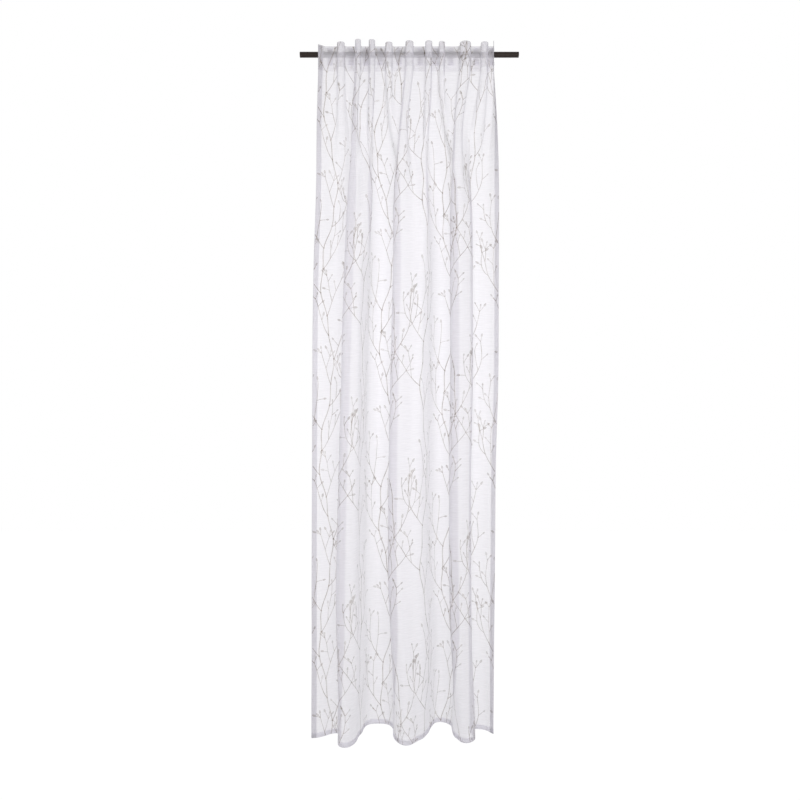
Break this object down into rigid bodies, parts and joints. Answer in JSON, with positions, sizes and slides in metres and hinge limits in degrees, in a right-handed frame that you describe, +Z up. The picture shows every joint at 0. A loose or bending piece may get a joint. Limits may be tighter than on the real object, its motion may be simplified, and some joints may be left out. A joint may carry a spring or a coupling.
{
  "type": "sheer voile curtain on a rod",
  "caption": "Sheer voile curtain panel hung in soft folds by hidden loops on a plain round rod, with a double heading and narrow hems.",
  "frame": {"origin": "middle of the rod, on its axis", "axes": "+X along the rod to the right as seen from the room, +Z up, -Y out of the cloth's face into the room"},
  "size_m": [0.783, 0.2137, 2.4428],
  "materials": {
    "voile": "sheer matt voile",
    "tab_voile": "matt voile strap",
    "rod_paint": "black satin powder coat"
  },
  "bodies": {
    "root": {"panel": "voile", "tab_01": "tab_voile", "tab_02": "tab_voile", "tab_03": "tab_voile", "tab_04": "tab_voile", "tab_05": "tab_voile", "tab_06": "tab_voile", "tab_07": "tab_voile", "tab_08": "tab_voile", "tab_09": "tab_voile", "tab_10": "tab_voile", "rod": "rod_paint"}
  },
  "joints": []
}
